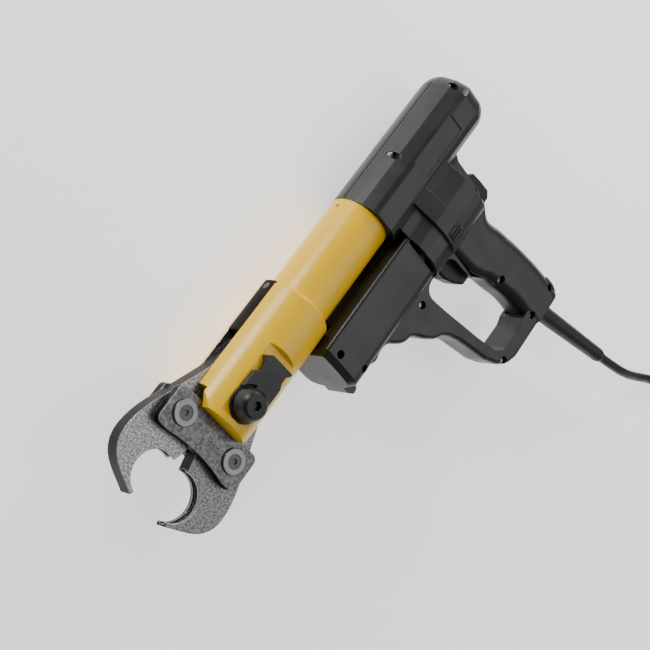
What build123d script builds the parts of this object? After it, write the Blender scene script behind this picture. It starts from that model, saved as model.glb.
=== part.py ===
"""Corded electro-hydraulic press tool with a pressing tong, lying on its side.

The tool axis runs along X towards the jaws, +Y runs towards the D-handle and
+Z up through the holding bolt.  While it is built, the holding bolt stands on
the tool axis at x = y = z = 0.  At the end everything is moved so that the row
origin is below the middle of the tool, on the surface that it lies on.
All lengths are in millimetres.
"""
from build123d import *
import math
import os

# ---------------------------------------------------------------- driving sizes
# tong holder and cylinder
HOLDER_R = 34.0            # outside of the tong holder
HOLDER_FRONT = 22.6        # front end of its two arms
HOLDER_BACK = -103.3       # shoulder behind which the cylinder tube shows
ARM_CHAMFER = 22.4         # half width of the arms' front edge
ARM_CHAMFER_BACK = 14.6    # how far the corner chamfer runs back
FLAT_Z = 30.0              # milled flat under the bolt's head and the catch
TUBE_R = 28.1              # cylinder tube outside
TUBE_BORE = 22.0           # cylinder tube bore
TUBE_FRONT = -88.0         # front end of the tube, inside the holder
TUBE_BACK = -215.0         # rear end of the tube, inside the housing
CARRIAGE_BORE = 23.5       # bore of the holder in which the roller carriage runs

# pressing tong
JAW_T = 14.4               # thickness of a jaw
PLATE_T = 8.3              # thickness of a side plate
SIDE_GAP = 0.3             # play beside a moving jaw
BOLT_R = 7.0               # holding bolt
PIN_X = 36.0               # jaw pins
PIN_Y = 31.4
PIN_R = 8.0
PLATE_BACK = 19.6          # rear edge of the side plates' heads
PLATE_FRONT = 55.6         # front edge of the side plates at their outer ends
PLATE_HALF = 48.8          # half width of the side plates
PLATE_DIP = 3.6            # how far the front edge is hollowed in the middle
STEM_HALF = 14.2           # half width of the side plates' stems
CONTOUR_X = 79.6           # centre of the closed pressing contour
CONTOUR_R = 21.2           # radius of the pressing contour
GROOVE_R = 23.2            # bead groove in the middle of the contour
GROOVE_W = 7.0
OPEN_DEG = 17.0            # each jaw's opening at rest
PARTING = 0.35             # half the gap between the closed jaws

# press rollers and ram
ROLLER_R = 10.0
ROLLER_Y = 10.3
ROLLER_X = -50.0           # roller centres with the ram back
STROKE = 29.0
CAM_GAP = 0.2              # play between a roller and the jaw's cam edge
ROLLER_PIN_R = 4.0
CHEEK_Z = 15.0             # outer faces of the carriage's cheeks
CARRIAGE_HALF = 17.0
ROD_R = 14.0
PISTON_BACK = -172.0
PISTON_FRONT = -156.0
FIT = 0.05                 # radial play of a running fit
CLEAR = 0.3                # play between parts that don't guide each other

# drive unit
WALL = 2.8                 # housing wall
BARREL_FRONT = -203.5
SPIGOT_R = 26.6            # end of the tube that the housing grips
BARREL_TAPER = -350.5      # where the rear end starts to taper
BARREL_BACK = -366.5
MOTOR_Y = 57.0             # motor axis
BODY_FRONT = -85.0         # front end of the motor body
BODY_NOSE = -79.5          # front face of its bevelled nose
BODY_STEP = -213.0         # where the motor body meets the wider middle
BAND_FRONT = -239.0
BAND_STEP = -258.0
BAND_BACK = -294.0
NECK_BACK = -311.0          # rear end of the neck above the grip
MODULE = 1.5               # gears
PINION_N = 12
IDLER_N = 22
WHEEL_N = 20
GEAR_BACK = -251.0
GEAR_FRONT = -243.0
HANDLE_Z = 16.0            # half thickness of the D-handle
HANDLE_EDGE = 5.0          # rounding of its outer edges
GRIP_Z = 18.0              # half thickness of the grip
TRIGGER_TRAVEL = 6.0
BUTTON_TRAVEL = 4.0
CATCH_TRAVEL = 6.0

# cord
CORD_D = 9.6
FLOOR_Z = -42.9           # surface that the cord lies on, a hair above the tool's lowest face

PARTS = {}


# ---------------------------------------------------------------- small helpers
def rod(x0, x1, r, y=0.0, z=0.0):
    """Round bar along X."""
    return Pos((x0 + x1) / 2, y, z) * Rot(0, 90, 0) * Cylinder(r, abs(x1 - x0))


def post(z0, z1, r, x=0.0, y=0.0):
    """Round bar along Z."""
    return Pos(x, y, (z0 + z1) / 2) * Cylinder(r, abs(z1 - z0))


def block(x0, x1, y0, y1, z0, z1):
    """Box between two corners."""
    size = (abs(x1 - x0), abs(y1 - y0), abs(z1 - z0))
    return Pos((x0 + x1) / 2, (y0 + y1) / 2, (z0 + z1) / 2) * Box(*size)


def section(points, x, radius=0.0):
    """Closed YZ outline at x, with its corners rounded."""
    plane = Plane(origin=(x, 0, 0), x_dir=(0, 1, 0), z_dir=(1, 0, 0))
    face = make_face(Polyline(*points, close=True))
    if radius:
        face = fillet(face.vertices(), radius)
    return plane * face


def along_x(points, x0, x1, radius=0.0):
    """YZ outline drawn out from x0 to x1."""
    return extrude(section(points, x0, radius), x1 - x0, dir=(1, 0, 0))


def slab(points, z0, z1, radius=0.0):
    """XY outline drawn out from z0 to z1."""
    face = make_face(Polyline(*points, close=True))
    if radius:
        face = fillet(face.vertices(), radius)
    return extrude(Pos(0, 0, z0) * face, z1 - z0, dir=(0, 0, 1))


def corners(points):
    """Each corner of a closed outline with the angle that it turns by, straight ones left out."""
    found = []
    for a, b, c in zip(points[-1:] + points[:-1], points, points[1:] + points[:1]):
        turned = (Vector(*b) - Vector(*a)).get_angle(Vector(*c) - Vector(*b))
        if turned > 0.5:
            found.append((b, math.radians(turned)))
    return found


def soft_outline(points, limit):
    """Closed outline with each corner rounded as far as its sides allow, up to a limit."""
    turning = corners(points)
    kept = [b for b, angle in turning]
    radii = []
    for i, (b, angle) in enumerate(turning):
        sides = [math.dist(b, kept[i - 1]), math.dist(b, kept[(i + 1) % len(kept)])]
        radii.append(min(limit, 0.47 * min(sides) / math.tan(angle / 2)))
    return make_face(FilletPolyline(*kept, radius=radii, close=True))


def mirrored(points):
    """Close a half outline given for z >= 0 by its mirror image below."""
    lower = [(y, -z) for y, z in reversed(points) if z > 0]
    return points + lower


def turn(x, y, degrees, cx, cy):
    """Turn a point about (cx, cy)."""
    a = math.radians(degrees)
    dx = x - cx
    dy = y - cy
    return (cx + dx * math.cos(a) - dy * math.sin(a), cy + dx * math.sin(a) + dy * math.cos(a))


def keep(name, shape):
    """Remember a finished sub-part by its node name."""
    PARTS[name] = shape


def group(shapes):
    """Several separate solids in one node."""
    return Compound(children=[s.solid() for s in shapes])


# ---------------------------------------------------------------- tong holder
JAW_HALF = JAW_T / 2
PLATE_IN = JAW_HALF + SIDE_GAP
PLATE_OUT = PLATE_IN + PLATE_T
SLOT_BACK = -81.0
COVER_FRONT = -48.0
COVER_BACK = HOLDER_BACK + 1.3
COVER_HALF = PLATE_IN
COVER_R = HOLDER_R - 3.0
COVER_SCREW_X = -96.0
CATCH_TONGUE = (-38.0, -20.0)
TONGUE_HALF = 4.0
TONGUE_Z = 25.6
CATCH_BACK = -45.0
SPRING_BORE_Z = 27.6
SPRING_BORE_R = 2.0
SPRING_END = -54.0
FLAT_FRONT = 17.2
FLAT_RUNOUT = 2.5           # length of the ramp behind the catch


def tong_holder():
    body = rod(HOLDER_BACK, HOLDER_FRONT, HOLDER_R)
    rear_edge = body.faces().sort_by(Axis.X)[0].edges()
    body = chamfer(rear_edge, 3.4)
    body -= rod(HOLDER_BACK - 1, TUBE_FRONT, TUBE_R)
    body -= rod(TUBE_FRONT - 1, -STEM_HALF, CARRIAGE_BORE)
    stem_room = STEM_HALF + CLEAR
    body -= block(-STEM_HALF - 2, HOLDER_FRONT + 1, -stem_room, stem_room, -PLATE_OUT - CLEAR, PLATE_OUT + CLEAR)
    body -= block(SLOT_BACK, HOLDER_FRONT + 1, -HOLDER_R - 1, HOLDER_R + 1, -PLATE_IN, PLATE_IN)
    mouth_back = HOLDER_FRONT - ARM_CHAMFER_BACK
    body -= block(mouth_back, HOLDER_FRONT + 1, -HOLDER_R - 1, HOLDER_R + 1, -PLATE_OUT - CLEAR, PLATE_OUT + CLEAR)
    edge_y = math.sqrt(HOLDER_R ** 2 - PLATE_IN ** 2)
    for side in (-1, 1):
        corner = [
            (HOLDER_FRONT, side * ARM_CHAMFER),
            (mouth_back, side * edge_y),
            (mouth_back, side * (HOLDER_R + 2)),
            (HOLDER_FRONT + 2, side * (HOLDER_R + 2)),
            (HOLDER_FRONT + 2, side * ARM_CHAMFER),
        ]
        body -= slab(corner, -HOLDER_R, HOLDER_R)
        cover_seat = rod(COVER_BACK - CLEAR, SLOT_BACK + 1, HOLDER_R + 1) - rod(COVER_BACK - 2, SLOT_BACK + 2, COVER_R)
        y0, y1 = sorted((0, side * (HOLDER_R + 1)))
        body -= cover_seat & block(COVER_BACK, SLOT_BACK + 1, y0, y1, -COVER_HALF, COVER_HALF)
        hole = Pos(COVER_SCREW_X, side * 28.6, 0) * Rot(90, 0, 0) * Cylinder(1.6, 6.0)
        body -= hole
    flat_back = CATCH_BACK - CATCH_TRAVEL - 0.5
    flat = make_face(Polyline(
        (FLAT_FRONT, FLAT_Z),
        (flat_back, FLAT_Z),
        (flat_back - FLAT_RUNOUT, HOLDER_R + 0.1),
        (flat_back - FLAT_RUNOUT, HOLDER_R + 2),
        (FLAT_FRONT, HOLDER_R + 2),
        close=True,
    ))
    body -= extrude(Plane.XZ * flat, HOLDER_R, both=True)
    body -= post(-HOLDER_R - 1, HOLDER_R + 1, BOLT_R + FIT)
    groove_back = CATCH_TONGUE[0] - CATCH_TRAVEL - CLEAR
    groove_front = CATCH_TONGUE[1] + CLEAR
    groove_half = TONGUE_HALF + 0.1
    body -= block(groove_back, groove_front, -groove_half, groove_half, TONGUE_Z - 0.2, FLAT_Z + 1)
    body -= rod(SPRING_END, groove_back + 1, SPRING_BORE_R + 0.1, 0, SPRING_BORE_Z)
    return body


keep("tong_holder", tong_holder())


def slot_cover(side):
    shell = rod(COVER_BACK, COVER_FRONT, HOLDER_R + 0.6) - rod(COVER_BACK - 1, COVER_FRONT + 1, COVER_R)
    y0, y1 = sorted((10 * side, side * (HOLDER_R + 2)))
    strip = shell & block(COVER_BACK, COVER_FRONT, y0, y1, -COVER_HALF + 0.1, COVER_HALF - 0.1)
    strip -= Pos(COVER_SCREW_X, side * HOLDER_R, 0) * Rot(90, 0, 0) * Cylinder(1.7, 12)
    strip -= Pos(COVER_SCREW_X, side * (HOLDER_R + 0.2), 0) * Rot(90, 0, 0) * Cylinder(3.6, 3.0)
    return strip


keep("slot_covers", group([slot_cover(-1), slot_cover(1)]))


def cover_screw(side):
    head = Pos(COVER_SCREW_X, side * (HOLDER_R - 0.5), 0) * Rot(90, 0, 0) * Cylinder(3.4, 1.6)
    shank = Pos(COVER_SCREW_X, side * (HOLDER_R - 3.0), 0) * Rot(90, 0, 0) * Cylinder(1.5, 4.8)
    return head + shank


keep("cover_screws", group([cover_screw(-1), cover_screw(1)]))


# ---------------------------------------------------------------- holding bolt and catch
HEAD_Z = FLAT_Z + 0.2
FLANGE_R = 16.2
FLANGE_T = 2.8
KNOB_R = 14.8
KNOB_TOP_R = 10.4
KNOB_TOP = 46.4
KEYWAY = 13.0
NOSE_HALF = 4.0


def holding_bolt():
    flange_top = HEAD_Z + FLANGE_T
    with BuildPart() as part:
        with BuildSketch(Plane.XZ):
            with BuildLine():
                Polyline(
                    (0, -HOLDER_R + 0.4),
                    (BOLT_R - 1.2, -HOLDER_R + 0.4),
                    (BOLT_R, -HOLDER_R + 1.6),
                    (BOLT_R, HEAD_Z),
                    (FLANGE_R - 0.6, HEAD_Z),
                    (FLANGE_R, HEAD_Z + 0.6),
                    (FLANGE_R, flange_top - 0.8),
                    (FLANGE_R - 0.8, flange_top),
                    (KNOB_R - 0.9, flange_top + 0.2),
                    (KNOB_R, flange_top + 1.4),
                )
                Spline(
                    (KNOB_R, flange_top + 1.4),
                    (KNOB_R - 0.9, flange_top + 5.4),
                    (KNOB_TOP_R + 0.9, KNOB_TOP - 1.6),
                    (KNOB_TOP_R - 0.6, KNOB_TOP),
                )
                Line((KNOB_TOP_R - 0.6, KNOB_TOP), (0, KNOB_TOP))
                Line((0, KNOB_TOP), (0, -HOLDER_R + 0.4))
            make_face()
        revolve(axis=Axis.Z)
    bolt = part.part
    star = Pos(0, 0, KNOB_TOP - 3.4) * extrude(RegularPolygon(4.2, 6), 4)
    bolt -= star
    nose_room = NOSE_HALF + CLEAR
    bolt -= block(-FLANGE_R - 1, -KEYWAY, -nose_room, nose_room, HEAD_Z - 0.1, KNOB_TOP + 1)
    return bolt


keep("holding_bolt", holding_bolt())


def catch():
    top = FLAT_Z + 5.0
    outline = [
        (-39.9, -14.7),
        (-44.3, -8.8),
        (CATCH_BACK, 16.3),
        (-42.4, 16.1),
        (-39.0, 12.9),
        (-33.1, 13.0),
        (-27.9, 15.5),
        (-8.0, 15.5),
        (-8.0, -15.0),
        (-24.0, -14.2),
        (-28.3, -9.1),
        (-35.2, -11.0),
    ]
    body = slab(outline, HEAD_Z, top)
    body -= post(HEAD_Z - 1, top + 1, FLANGE_R + 0.5)
    nose = block(-20.0, -KEYWAY - CLEAR, -NOSE_HALF, NOSE_HALF, HEAD_Z, top)
    tongue = block(CATCH_TONGUE[0], CATCH_TONGUE[1], -TONGUE_HALF, TONGUE_HALF, TONGUE_Z, HEAD_Z + 0.5)
    return body + nose + tongue


keep("catch", catch())


def coil_spring(x0, x1, radius, wire, turns, y=0.0, z=0.0):
    """Compression spring along X."""
    pitch = (x1 - x0 - 2 * wire) / turns
    path = Helix(pitch, x1 - x0 - 2 * wire, radius)
    start = path @ 0
    profile = Plane(origin=start, z_dir=path % 0) * Circle(wire)
    spring = sweep(profile, path)
    return Pos(x0 + wire, y, z) * Rot(0, 90, 0) * spring


keep("catch_spring", coil_spring(SPRING_END + 0.1, CATCH_TONGUE[0] - 0.1, 1.5, 0.3, 6, 0, SPRING_BORE_Z))


# ---------------------------------------------------------------- pressing tong
def side_plate(z0, z1):
    with BuildPart() as part:
        with BuildSketch(Plane.XY.offset(z0)):
            with BuildLine():
                Line((PLATE_BACK, STEM_HALF), (PLATE_BACK, PLATE_HALF))
                Line((PLATE_BACK, PLATE_HALF), (PLATE_FRONT, PLATE_HALF))
                Line((PLATE_FRONT, PLATE_HALF), (PLATE_FRONT, 34))
                middle = (PLATE_FRONT - PLATE_DIP, 0)
                ThreePointArc((PLATE_FRONT, 34), middle, (PLATE_FRONT, -34))
                Line((PLATE_FRONT, -34), (PLATE_FRONT, -PLATE_HALF))
                Line((PLATE_FRONT, -PLATE_HALF), (PLATE_BACK, -PLATE_HALF))
                Line((PLATE_BACK, -PLATE_HALF), (PLATE_BACK, -STEM_HALF))
                Line((PLATE_BACK, -STEM_HALF), (0, -STEM_HALF))
                ThreePointArc((0, -STEM_HALF), (-STEM_HALF, 0), (0, STEM_HALF))
                Line((0, STEM_HALF), (PLATE_BACK, STEM_HALF))
            make_face()
            outer = [v for v in vertices() if abs(v.Y) > PLATE_HALF - 0.1]
            fillet(outer, 6.0)
        extrude(amount=z1 - z0)
    plate = part.part
    plate -= post(z0 - 1, z1 + 1, BOLT_R + FIT)
    for side in (-1, 1):
        plate -= post(z0 - 1, z1 + 1, PIN_R + 0.02, PIN_X, side * PIN_Y)
    return plate


keep("upper_side_plate", side_plate(PLATE_IN, PLATE_OUT))
keep("lower_side_plate", side_plate(-PLATE_OUT, -PLATE_IN))

SCREW_HOLE_DEPTH = 9.0
WASHER_R = 11.2
WASHER_T = 2.0
DISC_R = 6.3


def jaw_pin(side):
    pin = post(-PLATE_OUT, PLATE_OUT, PIN_R, PIN_X, side * PIN_Y)
    for end in (-1, 1):
        z0, z1 = sorted((end * (PLATE_OUT - SCREW_HOLE_DEPTH), end * (PLATE_OUT + 1)))
        pin -= post(z0, z1, 3.0, PIN_X, side * PIN_Y)
    return pin


def pin_washer(side, end):
    z0, z1 = sorted((end * PLATE_OUT, end * (PLATE_OUT + WASHER_T)))
    washer = post(z0, z1, WASHER_R, PIN_X, side * PIN_Y)
    rim = washer.faces().sort_by(Axis.Z)[-1 if end > 0 else 0].edges()
    washer = chamfer(rim, 0.5)
    return washer - post(z0 - 1, z1 + 1, DISC_R + 0.05, PIN_X, side * PIN_Y)


def pin_screw(side, end):
    z0, z1 = sorted((end * PLATE_OUT, end * (PLATE_OUT + WASHER_T - 0.3)))
    head = post(z0, z1, DISC_R, PIN_X, side * PIN_Y)
    s0, s1 = sorted((end * (PLATE_OUT - SCREW_HOLE_DEPTH + 1), end * (PLATE_OUT + 0.5)))
    shank = post(s0, s1, 2.95, PIN_X, side * PIN_Y)
    face = end * (PLATE_OUT + WASHER_T - 0.3)
    star = Pos(PIN_X, side * PIN_Y, face - 1.2) * extrude(RegularPolygon(2.6, 6), 2.4)
    return head + shank - star


ends = [(side, end) for side in (-1, 1) for end in (-1, 1)]
keep("jaw_pins", group([jaw_pin(-1), jaw_pin(1)]))
keep("pin_washers", group([pin_washer(*e) for e in ends]))
keep("pin_screws", group([pin_screw(*e) for e in ends]))


def cam_points(count):
    """Cam edge of the left jaw, at rest: the rollers' outer side as the jaw sees it."""
    points = []
    rate = math.radians(OPEN_DEG) / STROKE
    for i in range(count):
        s = STROKE * i / (count - 1)
        angle = -OPEN_DEG * s / STROKE
        cx = ROLLER_X + s
        cy = -ROLLER_Y
        px, py = turn(cx, cy, angle, PIN_X, -PIN_Y)
        vx = 1 + rate * (cy + PIN_Y)
        vy = -rate * (cx - PIN_X)
        length = math.hypot(vx, vy)
        nx, ny = turn(vy / length, -vx / length, angle, 0, 0)
        reach = ROLLER_R + CAM_GAP
        points.append((px + nx * reach, py + ny * reach))
    return points


def left_jaw():
    """Left jaw at rest; its front half is drawn closed and turned open about its pin."""
    def opened(x, y):
        return turn(x, y, -OPEN_DEG, PIN_X, -PIN_Y)

    tip_out = opened(CONTOUR_X + CONTOUR_R + 3.8, -PARTING)
    back = [
        opened(101.6, -24.3),
        opened(98.2, -34.6),
        opened(92.0, -42.6),
        opened(83.4, -47.8),
        opened(72.5, -50.6),
        opened(58.8, -51.8),
        opened(40.9, -50.4),
    ]
    arm_out = (-8.6, -33.8)
    cam = cam_points(7)
    tail_out = (cam[0][0] + 1.0, cam[0][1] - 7.6)
    tail_in = (cam[0][0] - 1.0, cam[0][1] - 1.6)
    around_bolt = [(-6.6, -8.6), (0.0, -10.0), (9.0, -10.4)]
    heel_back = opened(PIN_X + 1.0, -1.2)
    heel = opened(CONTOUR_X - math.sqrt(CONTOUR_R ** 2 - PARTING ** 2), -PARTING)
    contour_low = opened(CONTOUR_X, -CONTOUR_R)
    tip_in = opened(CONTOUR_X + math.sqrt(CONTOUR_R ** 2 - PARTING ** 2), -PARTING)
    with BuildPart() as part:
        with BuildSketch(Plane.XY.offset(-JAW_HALF)):
            with BuildLine():
                Spline(tip_out, *back)
                Line(back[-1], arm_out)
                Polyline(arm_out, tail_out, tail_in, cam[0])
                Spline(*cam)
                Polyline(cam[-1], *around_bolt, heel_back, heel)
                ThreePointArc(heel, contour_low, tip_in)
                Line(tip_in, tip_out)
            make_face()
        extrude(amount=JAW_T)
    jaw = part.part
    cx, cy = opened(CONTOUR_X, 0)
    jaw -= post(-GROOVE_W / 2, GROOVE_W / 2, GROOVE_R, cx, cy)
    jaw -= post(-JAW_T, JAW_T, PIN_R + FIT, PIN_X, -PIN_Y)
    return jaw


left = left_jaw()
keep("left_jaw", left)
keep("right_jaw", mirror(left, Plane.XZ))


def jaw_spring():
    """Hairpin between the jaws' inner edges, just in front of the holding bolt."""
    path = FilletPolyline((24, -6.2, 0), (12, -8.2, 0), (9.6, 0, 0), (12, 8.2, 0), (24, 6.2, 0), radius=1.6)
    profile = Plane(origin=path @ 0, z_dir=path % 0) * Circle(0.9)
    return sweep(profile, path)


keep("jaw_spring", jaw_spring())


# ---------------------------------------------------------------- ram, rollers and hydraulics
def carriage():
    rear = ROLLER_X - ROLLER_R - 1.0
    back = rear - 17.0
    front = ROLLER_X + 5.5
    body = block(back, rear, -CARRIAGE_HALF, CARRIAGE_HALF, -CHEEK_Z, CHEEK_Z)
    for end in (-1, 1):
        z0, z1 = sorted((end * PLATE_IN, end * CHEEK_Z))
        body += block(rear - 0.5, front, -CARRIAGE_HALF, CARRIAGE_HALF, z0, z1)
    long_edges = body.edges().filter_by(Axis.X).filter_by(lambda e: abs(e.center().Y) > CARRIAGE_HALF - 0.1)
    outer = [e for e in long_edges if abs(e.center().Z) > CHEEK_Z - 0.1]
    body = chamfer(outer, 1.5)
    for side in (-1, 1):
        body -= post(-CHEEK_Z - 1, CHEEK_Z + 1, ROLLER_PIN_R + 0.01, ROLLER_X, side * ROLLER_Y)
    body += rod(PISTON_FRONT, back + 0.5, ROD_R)
    return body


keep("ram", carriage())
keep("roller_pins", group([post(-CHEEK_Z, CHEEK_Z, ROLLER_PIN_R, ROLLER_X, s * ROLLER_Y) for s in (-1, 1)]))


def roller(side):
    body = post(-JAW_HALF, JAW_HALF, ROLLER_R, ROLLER_X, side * ROLLER_Y)
    rims = body.edges().filter_by(GeomType.CIRCLE)
    body = chamfer(rims, 0.6)
    return body - post(-JAW_T, JAW_T, ROLLER_PIN_R + FIT, ROLLER_X, side * ROLLER_Y)


keep("left_roller", roller(-1))
keep("right_roller", roller(1))


def piston():
    body = rod(PISTON_BACK, PISTON_FRONT, TUBE_BORE - FIT)
    seal_x = (PISTON_BACK + PISTON_FRONT) / 2
    body -= rod(seal_x - 2.2, seal_x + 2.2, TUBE_BORE + 1) - rod(seal_x - 3, seal_x + 3, TUBE_BORE - 3)
    return body


SEAL_X = (PISTON_BACK + PISTON_FRONT) / 2
keep("piston", piston())
keep("piston_seal", rod(SEAL_X - 2.1, SEAL_X + 2.1, TUBE_BORE - FIT) - rod(SEAL_X - 3, SEAL_X + 3, TUBE_BORE - 3))

GLAND_BACK = TUBE_FRONT - 8.0
keep("rod_gland", rod(GLAND_BACK, TUBE_FRONT, TUBE_BORE - 0.02) - rod(GLAND_BACK - 1, TUBE_FRONT + 1, ROD_R + FIT))
keep("return_spring", coil_spring(PISTON_FRONT + 0.2, GLAND_BACK - 0.2, 18.0, 1.4, 7))

SHOULDER = BARREL_FRONT + CLEAR
tube = rod(TUBE_BACK, SHOULDER, SPIGOT_R) + rod(SHOULDER, TUBE_FRONT, TUBE_R)
tube -= rod(TUBE_BACK - 1, TUBE_FRONT + 1, TUBE_BORE)
vent = Pos(BARREL_FRONT + 8.6, -TUBE_R * 0.94, TUBE_R * 0.1) * Rot(90, 0, 0) * Cylinder(1.6, 5)
keep("cylinder_tube", tube - vent)

PUMP_BACK = -235.0
PLUG_FRONT = -175.0
PUMP_HEAD_R = 24.9
SHAFT_R = 5.0


def pump_block():
    body = rod(PUMP_BACK, TUBE_BACK, PUMP_HEAD_R)
    body += rod(TUBE_BACK - 1, PLUG_FRONT, TUBE_BORE - 0.02)
    body -= rod(PLUG_FRONT - 6, PLUG_FRONT + 1, TUBE_BORE - 8)
    body -= rod(PUMP_BACK - 1, PUMP_BACK + 16, SHAFT_R + FIT)
    body -= Pos(PUMP_BACK + 9, 0, TUBE_R / 2) * Cylinder(3.0 + FIT, TUBE_R + 2)
    return body


keep("pump_block", pump_block())
PLUNGER_X = PUMP_BACK + 9
keep("pump_plunger", Pos(PLUNGER_X, 0, (SHAFT_R + 0.3 + 24.0) / 2) * Cylinder(3.0, 24.0 - SHAFT_R - 0.3))


# ---------------------------------------------------------------- gear train
def gear(teeth, x0, x1, y, phase, bore):
    """Spur gear about X with straight-sided teeth and some backlash."""
    pitch_r = MODULE * teeth / 2
    root_r = pitch_r - 1.2 * MODULE
    tip_r = pitch_r + 0.8 * MODULE
    step = 2 * math.pi / teeth
    outline = []
    for i in range(teeth):
        a = phase + i * step
        for r, half in ((root_r, 0.30), (pitch_r, 0.20), (tip_r, 0.10)):
            outline.append((r, a - half * step))
        for r, half in ((tip_r, 0.10), (pitch_r, 0.20), (root_r, 0.30)):
            outline.append((r, a + half * step))
    points = [(y + r * math.cos(a), r * math.sin(a)) for r, a in outline]
    return along_x(points, x0, x1) - rod(x0 - 1, x1 + 1, bore, y)


PINION_R = MODULE * PINION_N / 2
IDLER_R = MODULE * IDLER_N / 2
WHEEL_R = MODULE * WHEEL_N / 2
IDLER_Y = MOTOR_Y - PINION_R - IDLER_R
WHEEL_Y = IDLER_Y - IDLER_R - WHEEL_R
ARMATURE_SHAFT_R = 4.0
IDLER_SHAFT_R = 3.0
CARRIER_T = 3.0
COVER_PLATE_X = GEAR_BACK - 8.0
CARRIER_X = PUMP_BACK - CLEAR - CARRIER_T

# the idler has a tooth towards each neighbour, so the neighbours have a gap there
idler_half_step = math.pi / IDLER_N
pinion_phase = math.pi + math.pi / PINION_N
wheel_phase = math.pi / WHEEL_N
idler_phase = 0.0
keep("motor_pinion", gear(PINION_N, GEAR_BACK, GEAR_FRONT, MOTOR_Y, pinion_phase, ARMATURE_SHAFT_R + 0.01))
keep("idler_gear", gear(IDLER_N, GEAR_BACK, GEAR_FRONT, IDLER_Y, idler_phase, IDLER_SHAFT_R + FIT))
keep("pump_gear", gear(WHEEL_N, GEAR_BACK, GEAR_FRONT, WHEEL_Y, wheel_phase, SHAFT_R + 0.01))
keep("idler_shaft", rod(COVER_PLATE_X - CARRIER_T, CARRIER_X + CARRIER_T, IDLER_SHAFT_R, IDLER_Y))
pump_shaft = rod(COVER_PLATE_X - CARRIER_T, PUMP_BACK + 15, SHAFT_R, WHEEL_Y)
keep("pump_shaft", pump_shaft)

BEARING_R = 9.5
SMALL_BEARING_R = 8.0


def gear_plate(x0):
    """Plate that carries the gear shafts."""
    outline = mirrored([(-14.8, 12.0), (-11.0, 19.0), (64.0, 19.0), (72.0, 12.0)])
    plate = along_x(outline, x0, x0 + CARRIER_T, 4.0)
    plate -= rod(x0 - 1, x0 + CARRIER_T + 1, BEARING_R + 0.01, WHEEL_Y)
    plate -= rod(x0 - 1, x0 + CARRIER_T + 1, SMALL_BEARING_R + 0.01, MOTOR_Y)
    plate -= rod(x0 - 1, x0 + CARRIER_T + 1, IDLER_SHAFT_R + 0.01, IDLER_Y)
    return plate


keep("gear_carrier", gear_plate(CARRIER_X))
keep("gear_cover", gear_plate(COVER_PLATE_X - CARRIER_T))


def bearing(x0, x1, outer, inner, y):
    return rod(x0, x1, outer, y) - rod(x0 - 1, x1 + 1, inner + FIT, y)


PLATES = (CARRIER_X, COVER_PLATE_X - CARRIER_T)
keep("pump_shaft_bearings", group([bearing(x, x + CARRIER_T, BEARING_R, SHAFT_R, WHEEL_Y) for x in PLATES]))


# ---------------------------------------------------------------- motor
STATOR_FRONT = -125.0
STATOR_BACK = -185.0
STATOR_R = 23.5
ARMATURE_R = 16.0
SHAFT_FRONT = -94.0
SHAFT_END = COVER_PLATE_X - CARRIER_T
stator = rod(STATOR_BACK, STATOR_FRONT, STATOR_R, MOTOR_Y) - rod(STATOR_BACK - 1, STATOR_FRONT + 1, ARMATURE_R + 0.6, MOTOR_Y)
keep("motor_stator", stator)


def armature():
    core = rod(STATOR_BACK + 2, STATOR_FRONT - 2, ARMATURE_R, MOTOR_Y)
    for i in range(12):
        a = 2 * math.pi * i / 12
        y = MOTOR_Y + ARMATURE_R * math.cos(a)
        core -= rod(STATOR_BACK, STATOR_FRONT, 1.3, y, ARMATURE_R * math.sin(a))
    return core + rod(SHAFT_END, SHAFT_FRONT, ARMATURE_SHAFT_R, MOTOR_Y)


keep("armature", armature())
commutator = rod(-119.0, -105.0, 9.0, MOTOR_Y) - rod(-120.0, -104.0, ARMATURE_SHAFT_R + 0.01, MOTOR_Y)
keep("commutator", commutator)


def cooling_fan():
    fan = rod(-203.0, -200.5, 20.5, MOTOR_Y) + rod(-203.0, -191.0, 7.0, MOTOR_Y)
    for i in range(9):
        blade = block(-201.0, -192.0, 6.0, 20.0, -0.8, 0.8)
        fan += Pos(0, MOTOR_Y, 0) * Rot(40 * i, 0, 0) * blade
    return fan - rod(-204.0, -190.0, ARMATURE_SHAFT_R + 0.01, MOTOR_Y)


keep("cooling_fan", cooling_fan())
MOTOR_BEARINGS = [(SHAFT_FRONT - 6.0, SHAFT_FRONT), (BODY_STEP - 3.0, BODY_STEP + 3.0)]
bearings = [bearing(x0, x1, SMALL_BEARING_R, ARMATURE_SHAFT_R, MOTOR_Y) for x0, x1 in MOTOR_BEARINGS]
bearings += [bearing(x, x + CARRIER_T, SMALL_BEARING_R, ARMATURE_SHAFT_R, MOTOR_Y) for x in PLATES]
keep("motor_bearings", group(bearings))
BRUSH_X = -112.0
brushes = []
holders = []
for side in (-1, 1):
    z0, z1 = sorted((side * 9.2, side * 20.0))
    brushes.append(block(BRUSH_X - 3, BRUSH_X + 3, MOTOR_Y - 3, MOTOR_Y + 3, z0, z1))
    h0, h1 = sorted((side * 12.0, side * 26.0))
    case = block(BRUSH_X - 5, BRUSH_X + 5, MOTOR_Y - 5, MOTOR_Y + 5, h0, h1)
    w0, w1 = sorted((side * 11.0, side * 24.0))
    holders.append(case - block(BRUSH_X - 3.1, BRUSH_X + 3.1, MOTOR_Y - 3.1, MOTOR_Y + 3.1, w0, w1))
keep("carbon_brushes", group(brushes))
keep("brush_holders", group(holders))


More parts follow.
